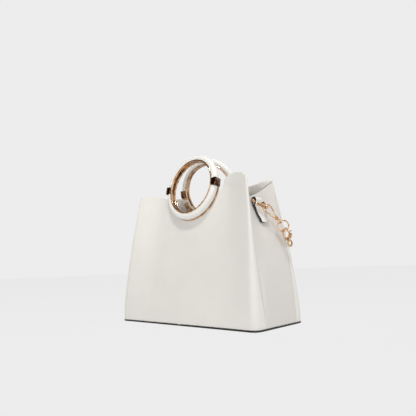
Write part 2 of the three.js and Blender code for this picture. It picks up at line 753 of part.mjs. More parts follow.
addPiece(hookA, "hook_a_body", hookBody(HOOK_A).add(solidFrom(tailEye)), ROSE_GOLD);
addPiece(hookA, "hook_a_gate", hookGate(HOOK_A), ROSE_GOLD);

// The bail, whose two ends are held in a bored barrel, and the small eye that turns in the barrel
const barrelHalf = BARREL_LENGTH / 2;
const bail = drumAlong(BARREL_RADIUS, -barrelHalf, barrelHalf, SIDES.barrel)
  .add(wireSolid(BAIL.outline, BAIL_WIRE, BAIL.steps))
  .subtract(drumAlong(BORE_RADIUS, -BARREL_LENGTH, BARREL_LENGTH, SIDES.bore));
addPiece(bailFrame, "bail", bail, ROSE_GOLD);
const eyeA = -barrelHalf - GAP - EYE_WIRE - EYE_RADIUS;
addPiece(bailFrame, "swivel_eye_a", swivelEye(eyeA, EYE_RADIUS, EYE_WIRE, 1, barrelHalf), ROSE_GOLD);

// The round ring that joins the small eye and hook B, hanging at the far side of the eye
const linkA = new THREE.Vector3(eyeA, 0, 0).applyMatrix4(bailFrame.matrixWorld);
const ringAway = placeOf("jumpRing").sub(linkA).normalize();
const ringReach = JUMP_RING_RADIUS + EYE_RADIUS - EYE_WIRE - JUMP_RING_WIRE - LINK_PLAY;
const ringCentre = linkA.clone().addScaledVector(ringAway, ringReach);
const ringFrame = frameToward(ringCentre, linkA, vector(JUMP_RING_FACING));
const jumpRing = new THREE.TorusGeometry(JUMP_RING_RADIUS, JUMP_RING_WIRE, SIDES.wire, SIDES.ring);
addPiece(ringFrame, "jump_ring", solidFrom(jumpRing), ROSE_GOLD);

// Hook B, which hangs by its claw from the low side of the round ring, and its oval eye
const ringNormal = new THREE.Vector3().setFromMatrixColumn(ringFrame.matrixWorld, 2);
const toBarrel = placeOf("hookBarrel").sub(ringCentre).projectOnPlane(ringNormal).normalize();
const clawPlace = ringCentre.clone().addScaledVector(toBarrel, JUMP_RING_RADIUS);
const hang = placeOf("hookBarrel").sub(clawPlace).normalize();
const hookBFoot = clawPlace.clone().addScaledVector(hang, CLAW_REACH);
const hookB = frameToward(hookBFoot, clawPlace, vector(HOOK_B_FACING));
const hookBBody = hookBody(HOOK_B)
  .add(drumAlong(HOOK_B_BARREL_RADIUS, 0, HOOK_B_BARREL_LENGTH, SIDES.barrel))
  .subtract(drumAlong(BORE_RADIUS, -HOOK_B_BARREL_LENGTH, 2 * HOOK_B_BARREL_LENGTH, SIDES.bore));
addPiece(hookB, "hook_b_body", hookBBody, ROSE_GOLD);
addPiece(hookB, "hook_b_gate", hookGate(HOOK_B), ROSE_GOLD);
const eyeB = -GAP - (LOOP_EYE_RADIUS + LOOP_EYE_WIRE) * LOOP_EYE_STRETCH;
const loopEye = swivelEye(eyeB, LOOP_EYE_RADIUS, LOOP_EYE_WIRE, LOOP_EYE_STRETCH, HOOK_B_BARREL_LENGTH);
addPiece(hookB, "swivel_eye_b", loopEye, ROSE_GOLD);

export default group;
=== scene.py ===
import math

import bmesh
import bpy
import numpy as np
from mathutils import Matrix, Vector


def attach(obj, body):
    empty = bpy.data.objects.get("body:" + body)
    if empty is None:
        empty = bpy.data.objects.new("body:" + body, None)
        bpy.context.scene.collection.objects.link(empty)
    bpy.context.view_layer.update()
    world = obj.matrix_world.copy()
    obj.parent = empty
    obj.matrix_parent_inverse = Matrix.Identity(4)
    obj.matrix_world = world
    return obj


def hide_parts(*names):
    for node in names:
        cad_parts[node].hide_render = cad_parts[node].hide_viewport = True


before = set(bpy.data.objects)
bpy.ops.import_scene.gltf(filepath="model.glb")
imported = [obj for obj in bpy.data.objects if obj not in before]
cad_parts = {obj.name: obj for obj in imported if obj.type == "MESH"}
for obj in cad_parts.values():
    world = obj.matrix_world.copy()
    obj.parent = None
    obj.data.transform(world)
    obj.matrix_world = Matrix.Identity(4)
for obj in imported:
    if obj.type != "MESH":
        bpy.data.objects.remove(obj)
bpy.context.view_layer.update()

# The camera: it stands low at the bag's front right corner and looks slightly up, as the
# photograph does. Its place was solved from the straight lines of the bag.
MM = 0.001
CAMERA_PLACE = (501.14, -542.06, 90.63)
CAMERA_YAW = -0.732
CAMERA_PITCH = 0.149
CAMERA_ROLL = -0.035
FOCAL_SHARE = 406.97 / 416
SENSOR = 36

forward = Vector((
    math.sin(CAMERA_YAW) * math.cos(CAMERA_PITCH),
    math.cos(CAMERA_YAW) * math.cos(CAMERA_PITCH),
    math.sin(CAMERA_PITCH),
))
level_right = forward.cross(Vector((0, 0, 1))).normalized()
level_up = level_right.cross(forward)
right = level_right * math.cos(CAMERA_ROLL) + level_up * math.sin(CAMERA_ROLL)
up_way = level_up * math.cos(CAMERA_ROLL) - level_right * math.sin(CAMERA_ROLL)
camera = bpy.data.objects.new("camera", bpy.data.cameras.new("camera"))
bpy.context.scene.collection.objects.link(camera)
camera.data.sensor_width = SENSOR
camera.data.lens = SENSOR * FOCAL_SHARE
camera.data.clip_start = 0.01
camera.matrix_world = Matrix.Translation(Vector(CAMERA_PLACE) * MM) @ Matrix(
    (right, up_way, -forward)
).transposed().to_4x4()
bpy.context.scene.camera = camera

# The studio: a pale floor that runs into a pale surround behind the bag. The camera's side of the
# surround is dark with two bright strips, and bright at its right, for the metal to reflect.
# Soft boxes stand above the bag, before it and at its right.
SURROUND = (0.845, 0.845, 0.845)
DARK_SIDE = (0.03, 0.022, 0.018)
STRIP_LIGHT = (0.9, 0.9, 0.9)
BEHIND = (-0.6, 0.8, 0)
PALE_FROM = 0.42
PALE_TO = 0.68
STRIPS = (
    (0.06, STRIP_LIGHT),
    (0.12, DARK_SIDE),
    (0.30, DARK_SIDE),
    (0.34, STRIP_LIGHT),
    (0.38, DARK_SIDE),
    (0.6, DARK_SIDE),
    (0.66, STRIP_LIGHT),
)
FLOOR_SIZE = 30
FLOOR_GREY = (0.05, 0.05, 0.05)
FLOOR_GLOW = 0.79


def node_in(tree, kind, **settings):
    node = tree.nodes.new(kind)
    for key, value in settings.items():
        setattr(node, key, value)
    return node


world = bpy.data.worlds.new("studio")
bpy.context.scene.world = world
world.use_nodes = True
sky = world.node_tree
sky_place = node_in(sky, "ShaderNodeTexCoord")
sky_split = node_in(sky, "ShaderNodeSeparateXYZ")
sky_behind = node_in(sky, "ShaderNodeVectorMath", operation="DOT_PRODUCT")
sky_behind.inputs[1].default_value = BEHIND
sky_side = node_in(sky, "ShaderNodeMapRange", interpolation_type="SMOOTHSTEP")
sky_side.inputs["From Min"].default_value = PALE_FROM
sky_side.inputs["From Max"].default_value = PALE_TO
sky_strips = node_in(sky, "ShaderNodeValToRGB")
strip_stops = sky_strips.color_ramp.elements
strip_stops.remove(strip_stops[-1])
strip_stops[0].color = (*DARK_SIDE, 1)
for place, colour in STRIPS:
    strip_stops.new(place).color = (*colour, 1)
sky_turn = node_in(sky, "ShaderNodeMapRange")
sky_turn.inputs["From Min"].default_value = -1
sky_turn.inputs["From Max"].default_value = 1
sky_mix = node_in(sky, "ShaderNodeMixRGB")
sky_mix.inputs[2].default_value = (*SURROUND, 1)
sky.links.new(sky_place.outputs["Generated"], sky_split.inputs[0])
sky.links.new(sky_place.outputs["Generated"], sky_behind.inputs[0])
sky.links.new(sky_behind.outputs["Value"], sky_side.inputs["Value"])
sky.links.new(sky_split.outputs["X"], sky_turn.inputs["Value"])
sky.links.new(sky_turn.outputs[0], sky_strips.inputs[0])
sky.links.new(sky_side.outputs[0], sky_mix.inputs[0])
sky.links.new(sky_strips.outputs[0], sky_mix.inputs[1])
sky.links.new(sky_mix.outputs[0], sky.nodes["Background"].inputs[0])

floor_mesh = bpy.data.meshes.new("floor")
half_floor = FLOOR_SIZE / 2
floor_mesh.from_pydata(
    [(x * half_floor, y * half_floor, 0) for x, y in ((-1, -1), (1, -1), (1, 1), (-1, 1))],
    [],
    [(0, 1, 2, 3)],
)
floor = bpy.data.objects.new("floor", floor_mesh)
bpy.context.scene.collection.objects.link(floor)
paper = bpy.data.materials.new("paper")
paper.use_nodes = True
sheet = paper.node_tree
paper_shade = sheet.nodes["Principled BSDF"]
paper_shade.inputs["Base Color"].default_value = (*FLOOR_GREY, 1)
paper_shade.inputs["Roughness"].default_value = 0.9
paper_shade.inputs["Specular IOR Level"].default_value = 0
paper_shade.inputs["Emission Color"].default_value = (1, 1, 1, 1)
paper_shade.inputs["Emission Strength"].default_value = FLOOR_GLOW
floor_mesh.materials.append(paper)


def soft_box(name, place, target, size, power, colour):
    lamp = bpy.data.lights.new(name, "AREA")
    lamp.shape = "RECTANGLE"
    lamp.size, lamp.size_y = size
    lamp.energy = power
    lamp.color = colour
    holder = bpy.data.objects.new(name, lamp)
    bpy.context.scene.collection.objects.link(holder)
    holder.location = place
    way = Vector(target) - Vector(place)
    holder.rotation_euler = way.to_track_quat("-Z", "Y").to_euler()


soft_box(
    "key_light",
    place=(0.46, -0.6, 1.8),
    target=(0.03, 0, 0.15),
    size=(0.24, 0.24),
    power=15.0,
    colour=(1, 0.99, 0.97),
)
soft_box(
    "front_light",
    place=(0.1, -1.85, 0.7),
    target=(0, 0, 0.12),
    size=(1.0, 1.0),
    power=8.6,
    colour=(1, 0.995, 0.985),
)
soft_box(
    "side_light",
    place=(1.7, -0.3, 0.5),
    target=(0.1, 0, 0.12),
    size=(0.6, 0.9),
    power=0.5,
    colour=(1, 1, 1),
)

# The two panels: each is one cut of stiff smooth calf, off white with a very fine grain and a
# bare beige inner face. It is cut round where the ring sits, its edge there is painted black,
# and it is wrapped round both corners to the side seams.
WALL = 2.0
GAP = 0.3
BODY_WHITE = (0.765, 0.742, 0.702)
LINING_BEIGE = (0.90, 0.865, 0.82)
PAINT_BLACK = (0.004, 0.004, 0.005)
GRAIN_RELIEF = 0.0003
CLOUD_SCALE = 18


def shade_tree(name, colour, roughness, metallic=0.0):
    material = bpy.data.materials.new(name)
    material.use_nodes = True
    shader = material.node_tree.nodes["Principled BSDF"]
    shader.inputs["Base Color"].default_value = (*colour, 1)
    shader.inputs["Roughness"].default_value = roughness
    shader.inputs["Metallic"].default_value = metallic
    return material, material.node_tree, shader


def tone(tree, shader, colour, change):
    """A faint cloudy unevenness of the colour."""
    place = node_in(tree, "ShaderNodeTexCoord")
    cloud = node_in(tree, "ShaderNodeTexNoise")
    cloud.inputs["Scale"].default_value = CLOUD_SCALE
    cloud.inputs["Detail"].default_value = 4
    tree.links.new(place.outputs["Object"], cloud.inputs["Vector"])
    ramp = node_in(tree, "ShaderNodeValToRGB")
    ramp.color_ramp.elements[0].position = 0.3
    ramp.color_ramp.elements[0].color = (*(c * (1 - change) for c in colour), 1)
    ramp.color_ramp.elements[1].position = 0.7
    ramp.color_ramp.elements[1].color = (*(min(c * (1 + change), 1) for c in colour), 1)
    tree.links.new(cloud.outputs["Fac"], ramp.inputs[0])
    tree.links.new(ramp.outputs[0], shader.inputs["Base Color"])
    return place


def leather(name, colour, roughness, grain, depth, change=0.02):
    """Leather with fine cells and pores in low relief, and a roughness that follows the pores."""
    material, tree, shader = shade_tree(name, colour, roughness)
    place = tone(tree, shader, colour, change)
    cells = node_in(tree, "ShaderNodeTexVoronoi")
    cells.feature = "SMOOTH_F1"
    cells.inputs["Scale"].default_value = grain
    pores = node_in(tree, "ShaderNodeTexNoise")
    pores.inputs["Scale"].default_value = grain * 0.35
    pores.inputs["Detail"].default_value = 6
    blend = node_in(tree, "ShaderNodeMath", operation="ADD")
    bump = node_in(tree, "ShaderNodeBump")
    bump.inputs["Strength"].default_value = depth
    bump.inputs["Distance"].default_value = GRAIN_RELIEF
    rough = node_in(tree, "ShaderNodeMapRange")
    rough.inputs["To Min"].default_value = roughness - 0.06
    rough.inputs["To Max"].default_value = roughness + 0.08
    for texture in (cells, pores):
        tree.links.new(place.outputs["Object"], texture.inputs["Vector"])
    tree.links.new(cells.outputs["Distance"], blend.inputs[0])
    tree.links.new(pores.outputs["Fac"], blend.inputs[1])
    tree.links.new(blend.outputs[0], bump.inputs["Height"])
    tree.links.new(bump.outputs[0], shader.inputs["Normal"])
    tree.links.new(pores.outputs["Fac"], rough.inputs["Value"])
    tree.links.new(rough.outputs[0], shader.inputs["Roughness"])
    return material


body_leather = leather("body_calf", BODY_WHITE, 0.42, 1300, 0.22)
lining = leather("suede_lining", LINING_BEIGE, 0.9, 2600, 0.6, 0.06)
edge_paint = leather("black_edge_paint", PAINT_BLACK, 0.55, 700, 0.03, 0.2)

# Each level section of the body has a flat face, a round corner and a seam on the side. The
# frame's own sizes give this form, so the leather lies where the walls are, but for the tops.
BASE_WIDTH = 312
BASE_DEPTH = 130
HEIGHT = 238
TOP_WIDTH = 261
TOP_DEPTH = 76
MOUTH_DEPTH = 37
BASE_THICK = 3
BASE_LIP = 0.5
CORNER_ROUND = 16
SEAM_DEPTH = 84
SEAM_TOP_DEPTH = 70
SEAM_SPREAD = 6.5
SIDE_SWELL = 6.5
FACE_SWELL = 5
SEAM_SWELL = 2.5
SWELL_SKEW = 0.65
FLAT_SHARE = 0.58
TURN_FOOT = 0.1
TURN_HEAD = 0.68
REAR_TURN = math.radians(9.5)
WALL_BOTTOM = BASE_THICK + GAP


def mix(a, b, share):
    return a + (b - a) * share


def ease(value, low, high):
    share = min(max((value - low) / (high - low), 0), 1)
    return share * share * (3 - 2 * share)


def through(stops, values, where):
    """A smooth line through the stops that never overshoots them."""
    stops, values = np.asarray(stops, float), np.asarray(values, float)
    steps = np.diff(stops)
    slopes = np.diff(values) / steps
    tangents = np.zeros(len(stops))
    for i in range(1, len(stops) - 1):
        if slopes[i - 1] * slopes[i] > 0:
            tangents[i] = 2 / (1 / slopes[i - 1] + 1 / slopes[i])
    i = int(np.clip(np.searchsorted(stops, where) - 1, 0, len(steps) - 1))
    t = min(max((where - stops[i]) / steps[i], 0), 1)
    return (
        values[i] * (1 + 2 * t) * (1 - t) ** 2
        + steps[i] * tangents[i] * t * (1 - t) ** 2
        + values[i + 1] * t * t * (3 - 2 * t)
        + steps[i] * tangents[i + 1] * t * t * (t - 1)
    )


def swell(up):
    return math.sin(math.pi * up**SWELL_SKEW) if up < 1 else 0


def half_width(up):
    return mix(BASE_WIDTH, TOP_WIDTH, up) / 2 + SIDE_SWELL * swell(up)


def corner_depth(up):
    return mix(BASE_DEPTH, TOP_DEPTH, up) / 2 + FACE_SWELL * swell(up)


def middle_depth(up):
    return mix(BASE_DEPTH, MOUTH_DEPTH, up) / 2


def seam_out(up):
    return mix(BASE_WIDTH, TOP_WIDTH, up) / 2 + SEAM_SWELL * swell(up)


def seam_depth(up):
    return mix(SEAM_DEPTH, SEAM_TOP_DEPTH, up) / 2 + SEAM_SPREAD * math.sin(math.pi * min(up, 1))


def face_depth(x, up, turn):
    flat = FLAT_SHARE * TOP_WIDTH / 2
    share = max((x - flat) / (half_width(up) - flat), 0)
    angle = turn * ease(up, TURN_FOOT, TURN_HEAD)
    offset = min(x, flat) * math.tan(angle) * (1 - ease(share, 0, 1))
    bend = share * share * (2 - share)
    return mix(middle_depth(up) / math.cos(angle), corner_depth(up), bend) + offset


def quarter_point(station, up, turn=0):
    """A point of one quarter: station 0 to 1 runs along the face, 1 to 2 round the corner."""
    corner = np.array([half_width(up), corner_depth(up)])
    seam = np.array([seam_out(up), seam_depth(up)])
    away = float(np.linalg.norm(corner - seam))
    turned = min(CORNER_ROUND, away)
    start = corner[0] - turned
    if station <= 1:
        return np.array([station * start, face_depth(station * start, up, turn)])
    arc_start = np.array([start, face_depth(start, up, turn)])
    arc_end = mix(corner, seam, turned / away)
    t = station - 1
    point = arc_start * (1 - t) ** 2 + corner * 2 * t * (1 - t) + arc_end * t * t
    return point + (seam - arc_end) * t**3


# The panels' top lines, as shares of the height at shares of the half width.
TOP_STOPS = (0, 0.36, 0.45, 0.53, 0.56, 0.61, 0.68, 0.75, 0.84, 0.92, 1)
TOP_LINES = {
    "front_left": (0.937, 0.937, 0.938, 0.951, 0.954, 0.96, 0.968, 0.977, 0.987, 0.992, 0.99),
    "front_right": (0.937, 0.937, 0.937, 0.948, 1.015, 1.038, 1.044, 1.039, 1.029, 1.017, 0.99),
    "back_left": (0.945, 0.945, 0.95, 0.962, 0.963, 0.966, 0.97, 0.977, 0.988, 0.997, 0.992),
    "back_right": (0.945, 0.945, 0.95, 0.96, 0.968, 0.972, 0.976, 0.981, 0.988, 0.994, 0.998),
}
SEAM_TOP_SHARE = 0.982
BAND_INNER = 48
RING_HEIGHT = 237.5
BAND_WIDTH = 12.2
LEAN = math.atan2((BASE_DEPTH - MOUTH_DEPTH) / 2, HEIGHT)
PANEL_FACE = BAND_WIDTH / 2 + GAP
FACE_COLUMNS = 66
CORNER_COLUMNS = 16
PANEL_ROWS = 64
ROW_CROWDING = 0.9
HAND_SWELL = 0.5


def mesh_piece(name, points, faces, materials):
    mesh = bpy.data.meshes.new(name)
    mesh.from_pydata([tuple(float(c) * MM for c in p) for p in points], [], faces)
    mesh.validate()
    for material in materials:
        mesh.materials.append(material)
    mesh.shade_smooth()
    piece = bpy.data.objects.new(name, mesh)
    bpy.context.scene.collection.objects.link(piece)
    return piece


def turn_out(piece):
    """Point every face outward."""
    skin = bmesh.new()
    skin.from_mesh(piece.data)
    bmesh.ops.recalc_face_normals(skin, faces=skin.faces)
    skin.to_mesh(piece.data)
    skin.free()
    return piece


def soften(piece, width, segments=3, angle=40):
    bevel = piece.modifiers.new("soft_edges", "BEVEL")
    bevel.width = width * MM
    bevel.segments = segments
    bevel.limit_method = "ANGLE"
    bevel.angle_limit = math.radians(angle)
    return piece


def wall(name, outer, thickness, materials, edge_slot=0):
    """A leather wall from a grid of outer points: its face, its inner face and its four rims."""
    outer = np.asarray(outer, float)
    columns, rows = outer.shape[:2]
    across = np.gradient(outer, axis=0)
    along = np.gradient(outer, axis=1)
    normal = np.cross(across, along)
    normal /= np.linalg.norm(normal, axis=2)[..., None] + 1e-12
    inner = outer - normal * thickness
    inner[:, 0, 2] = outer[:, 0, 2]
    points = np.concatenate([outer.reshape(-1, 3), inner.reshape(-1, 3)])
    shift = columns * rows
    faces, slots = [], []

    def at(i, j, side):
        return side * shift + i * rows + j

    for i in range(columns - 1):
        for j in range(rows - 1):
            faces.append((at(i, j, 0), at(i + 1, j, 0), at(i + 1, j + 1, 0), at(i, j + 1, 0)))
            slots.append(edge_slot if j == rows - 2 else 0)
            faces.append((at(i, j, 1), at(i, j + 1, 1), at(i + 1, j + 1, 1), at(i + 1, j, 1)))
            slots.append(1)
        for j, slot in ((0, 0), (rows - 1, edge_slot)):
            faces.append((at(i, j, 0), at(i, j, 1), at(i + 1, j, 1), at(i + 1, j, 0)))
            slots.append(slot)
    for j in range(rows - 1):
        for i in (0, columns - 1):
            faces.append((at(i, j, 0), at(i, j + 1, 0), at(i, j + 1, 1), at(i, j, 1)))
            slots.append(0)
    piece = mesh_piece(name, points, faces, materials)
    piece.data.polygons.foreach_set("material_index", slots)
    turn_out(piece)
    return soften(piece, thickness * 0.2)


def notch_height(x, top):
    """The top of a column of the panel, or the edge of the ring's bite where that is lower."""
    bite = BAND_INNER + GAP
    centre = RING_HEIGHT - PANEL_FACE * math.sin(LEAN)
    if abs(x) >= bite:
        return top
    return min(top, centre - math.sqrt(bite * bite - x * x) * math.cos(LEAN))


def panel_columns():
    flat = [i / FACE_COLUMNS for i in range(FACE_COLUMNS + 1)]
    corner = [1 + (i + 1) / CORNER_COLUMNS for i in range(CORNER_COLUMNS)]
    return flat + corner


def panel_grid(facing, left, right, turn):
    grid = []
    stations = panel_columns()
    order = [(-1, left, s) for s in reversed(stations[1:])] + [(1, right, s) for s in stations]
    for side, line, station in order:
        share = min(station, 1)
        top = through(TOP_STOPS, TOP_LINES[line], share)
        if station > 1:
            top = mix(TOP_LINES[line][-1], SEAM_TOP_SHARE, ease(station - 1, 0, 1))
        at_top = quarter_point(station, top, side * turn)
        ring_x = side * at_top[0] / math.cos(turn)
        height = notch_height(ring_x, top * HEIGHT) if station <= 1 else top * HEIGHT
        column = []
        for row in range(PANEL_ROWS + 1):
            z = mix(WALL_BOTTOM, height, (row / PANEL_ROWS) ** ROW_CROWDING)
            plan = quarter_point(station, z / HEIGHT, side * turn)
            column.append((side * plan[0], facing * plan[1], z))
        grid.append(column)
    return grid if facing < 0 else grid[::-1]


def paint_bite(panel, turn):
    """Black paint on the cut edge of the round bite, which shows inside the ring."""
    centre = RING_HEIGHT - PANEL_FACE * math.sin(LEAN)
    for face in panel.data.polygons:
        across = face.center.x / MM / math.cos(turn)
        drop = (centre - face.center.z / MM) / math.cos(LEAN)
        if drop > 0 and math.hypot(across, drop) < BAND_INNER + 2 * GAP:
            face.material_index = 2


def breathe(grid, depth, phase):
    """Slight hollows and swells that hand work leaves in a stiff panel, none at its edges."""
    grid = np.asarray(grid, float)
    columns, rows = grid.shape[:2]
    i = np.linspace(0, 1, columns)[:, None]
    j = np.linspace(0, 1, rows)[None, :]
    wave = np.sin(7.1 * i + 2.3 * j + phase) + 0.7 * np.sin(3.7 * i - 5.2 * j + 2 * phase)
    wave += 0.5 * np.sin(13.0 * i + 4.1 * j + 3 * phase)
    hold = np.sin(np.pi * i) ** 0.5 * np.sin(np.pi * np.clip(j * 1.25, 0, 1)) ** 1.5
    normal = np.cross(np.gradient(grid, axis=0), np.gradient(grid, axis=1))
    normal /= np.linalg.norm(normal, axis=2)[..., None] + 1e-12
    return grid + normal * (depth * wave * hold)[..., None]


panel_materials = (body_leather, lining, edge_paint)
front_grid = breathe(panel_grid(-1, "front_left", "front_right", 0), HAND_SWELL, phase=0.4)
front_panel = wall("front_panel_leather", front_grid, WALL, panel_materials)
paint_bite(front_panel, 0)
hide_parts("front_panel")
back_grid = breathe(panel_grid(1, "back_left", "back_right", REAR_TURN), HAND_SWELL, phase=1.9)
back_panel = wall("back_panel_leather", back_grid, WALL, panel_materials)
paint_bite(back_panel, REAR_TURN)
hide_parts("back_panel")
for piece in (front_panel, back_panel):
    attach(piece, "bag")

# The base: a stiff board of the walls' own outline that stands out half a millimetre past them.
# It is covered in leather, and its edge is painted black. The underside doesn't show in the
# photograph, and is taken to be black too.
base_outline = []
for sx, sy in ((1, -1), (1, 1), (-1, 1), (-1, -1)):
    quarter = [quarter_point(s, WALL_BOTTOM / HEIGHT) for s in panel_columns()[2::2]]
    corner_points = [(sx * (p[0] + BASE_LIP), sy * (p[1] + BASE_LIP)) for p in quarter]
    base_outline += corner_points if sx * sy < 0 else corner_points[::-1]
count = len(base_outline)
base_points = [(x, y, 0) for x, y in base_outline]
base_points += [(x, y, BASE_THICK) for x, y in base_outline]
base_faces = [tuple(reversed(range(count))), tuple(range(count, 2 * count))]
base_faces += [(i, (i + 1) % count, count + (i + 1) % count, count + i) for i in range(count)]
base = mesh_piece("base_board", base_points, base_faces, (edge_paint, lining))
base.data.polygons[1].material_index = 1
soften(turn_out(base), 0.9)
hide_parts("base_panel")
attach(base, "bag")

# The folded sides: each is one piece of the same calf, pushed in at the top behind its tab, with
# a fold that dies out toward the base and a bare cut edge along the top. Its white is set a
# little darker than the panels' as painted shade: a shaded copy of the same calf.
SIDE_WHITE_PAINTED_SHADE = (0.685, 0.66, 0.62)
CUT_EDGE_GREY = (0.10, 0.09, 0.08)
FOLD_DEPTH = 21
VALLEY_TOP = 213
SIDE_TOP = 234
VALLEY_FALL = 6
FOLD_UP = (0, 0.1, 0.22, 0.33, 0.45, 0.56, 0.65, 0.75, 0.85, 1)
FOLD_IN = (0, -0.06, -0.12, -0.1, -0.02, 0.14, 0.4, 0.72, 0.98, 1)
FOLD_CREASE = (0.86, 0.86, 0.86, 0.76, 0.46, 0.29, 0.27, 0.27, 0.27, 0.27)
SIDE_COLUMNS = 72
SIDE_ROWS = 60
SIDE_INSET = 0.4
EDGE_SHARE = 0.004
CREASE_SOFT = 0.05
SOFTER_AT_FRONT = 3
side_leather_painted_shade = leather("side_calf_painted_shade", SIDE_WHITE_PAINTED_SHADE, 0.45, 1300, 0.22)
raw_edge = leather("grey_cut_edge", CUT_EDGE_GREY, 0.6, 900, 0.4, 0.15)


def side_point(v, z):
    """A point of the right side; v runs from -1 at the front seam to 1 at the back seam."""
    up = z / HEIGHT
    crease = through(FOLD_UP, FOLD_CREASE, up)
    ramp = (1 - abs(v)) / (1 - crease)
    soft = CREASE_SOFT if v > 0 else SOFTER_AT_FRONT * CREASE_SOFT
    share = 0.5 * (ramp + 1 - math.sqrt((ramp - 1) ** 2 + soft**2))
    share = max(share, 0) if abs(v) < 1 else 0
    x = seam_out(up) - FOLD_DEPTH * through(FOLD_UP, FOLD_IN, up) * share
    return np.array([x, v * seam_depth(up), z])


def side_top(v):
    crease = FOLD_CREASE[-1]
    fall = VALLEY_FALL * ease(-v, -crease, crease) * ease(v, -1, -crease)
    return mix(VALLEY_TOP, SIDE_TOP, max((abs(v) - crease) / (1 - crease), 0)) - fall


def side_grid():
    grid = []
    for i in range(SIDE_COLUMNS + 1):
        v = mix(-1, 1, i / SIDE_COLUMNS) * (1 - SIDE_INSET / seam_depth(0.5))
        top = side_top(v)
        levels = [(1 - EDGE_SHARE) * j / (SIDE_ROWS - 1) for j in range(SIDE_ROWS)] + [1]
        grid.append([side_point(v, mix(WALL_BOTTOM, top, level)) for level in levels])
    return grid


def half_turn(grid):
    return np.asarray(grid) * np.array([-1, -1, 1])


for name, node, grid in (
    ("side_right_leather", "side_right", side_grid()),
    ("side_left_leather", "side_left", half_turn(side_grid())),
):
    side = wall(name, grid, WALL, (side_leather_painted_shade, lining, raw_edge), edge_slot=2)
    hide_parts(node)
    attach(side, "bag")

# The side tabs: on each side a strap of white calf, folded over into a loop at the top and
# glued to itself and to the side below. Its cut edges are painted black.
TAB_WIDTH = 17
TAB_BOTTOM = 162
TAB_JOIN = 190
TAB_CORNER = 4.5
STRAP_THICK = 2.4
LOOP_HEIGHT = 199.5
LOOP_HOLE = 2.5
LOOP_ROUND = 5
SEAT_ROWS = 10
TAB_STEPS = 18
TAB_COLUMNS = 12
CORNER_FADE = 12
LOOP_PAST = 0.12
GLUE_LINE = 0.02
STRAP_WHITE = (0.83, 0.815, 0.785)
grip_leather = leather("grip_calf", STRAP_WHITE, 0.42, 1500, 0.07)


def tab_seat(z):
    """How far out the strap's back lies at a height, on the side's valley."""
    step = (VALLEY_TOP - WALL_BOTTOM) / SEAT_ROWS
    row = math.floor((z - WALL_BOTTOM) / step)
    foot = WALL_BOTTOM + row * step

    def valley(level):
        return seam_out(level / HEIGHT) - FOLD_DEPTH * np.interp(level / HEIGHT, FOLD_UP, FOLD_IN)

    return mix(valley(foot), valley(foot + step), (z - foot) / step) + GAP


loop_x = tab_seat(LOOP_HEIGHT) + LOOP_ROUND


def tab_profile():
    """The strap's outline seen along Y, as outer and inner points of the same count."""
    outer, inner = [], []
    for i in range(TAB_STEPS + 1):
        z = mix(TAB_BOTTOM, TAB_JOIN, i / TAB_STEPS)
        outer.append((tab_seat(z) + 2 * STRAP_THICK, z))
        inner.append((tab_seat(z) + STRAP_THICK, z))
    for i in range(2 * TAB_STEPS + 1):
        angle = mix(-LOOP_PAST * math.pi, (1 + LOOP_PAST) * math.pi, i / (2 * TAB_STEPS))
        for line, radius in ((outer, LOOP_ROUND), (inner, LOOP_HOLE)):
            line.append((loop_x + radius * math.cos(angle), LOOP_HEIGHT + radius * math.sin(angle)))
    for i in range(TAB_STEPS + 1):
        z = mix(TAB_JOIN, TAB_BOTTOM, i / TAB_STEPS)
        outer.append((tab_seat(z), z))
        inner.append((tab_seat(z) + STRAP_THICK - GLUE_LINE, z))
    return outer, inner


def tab_piece(name, sign):
    outer, inner = tab_profile()
    stations = [mix(-1, 1, i / TAB_COLUMNS) for i in range(TAB_COLUMNS + 1)]
    points, faces, slots = [], [], []
    for line in (outer, inner):
        for v in stations:
            for x, z in line:
                rise = 0
                side_way = TAB_WIDTH / 2 - abs(v) * TAB_WIDTH / 2
                if side_way < TAB_CORNER:
                    rise = TAB_CORNER - math.sqrt(TAB_CORNER**2 - (TAB_CORNER - side_way) ** 2)
                lifted = z + rise * max(0, 1 - (z - TAB_BOTTOM) / CORNER_FADE)
                points.append((sign * x, sign * v * TAB_WIDTH / 2, lifted))
    count, width = len(outer), len(stations)
    shift = count * width
    for s in range(width - 1):
        for k in range(count - 1):
            a, b = s * count + k, (s + 1) * count + k
            faces.append((a, b, b + 1, a + 1))
            slots.append(0)
            faces.append((shift + a, shift + a + 1, shift + b + 1, shift + b))
            slots.append(0)
    for k in range(count - 1):
        for s in (0, width - 1):
            a = s * count + k
            faces.append((a, a + 1, shift + a + 1, shift + a))
            slots.append(1)
    for s in range(width - 1):
        for k in (0, count - 1):
            a, b = s * count + k, (s + 1) * count + k
            faces.append((a, b, shift + b, shift + a))
            slots.append(1)
    piece = mesh_piece(name, points, faces, (grip_leather, edge_paint))
    piece.data.polygons.foreach_set("material_index", slots)
    turn_out(piece)
    return soften(piece, 0.2, 2, 50)


for name, node, sign in (("tab_right_strap", "tab_right", 1), ("tab_left_strap", "tab_left", -1)):
    tab = tab_piece(name, sign)
    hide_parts(node)
    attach(tab, "bag")

# The ring handles: a polished rose gold band with two beads, a leather covered tube over its
# upper half, a half round leather cover on its lower half, and two square polished collars.
RING_RADIUS = 54
GRIP_RADIUS = 6.4
BAND_THICK = 2.6
BEAD_WIDTH = 2.7
GROOVE = 0.9
FLANGE_THICK = 1.5
FLANGE_PROUD = 0.7
COLLAR_LENGTH = 13
COLLAR_PROUD = 1
BACK_PLATE_WIDTH = 9.6
BACK_PLATE_THICK = 1.5
BACK_PLATE_DROP = 17
RING_STEPS = 144
BEAD_STEPS = 7
GRIP_STEPS = 26
BEAD_CLEAR = 0.3
FLANGE_SEAT = 0.4
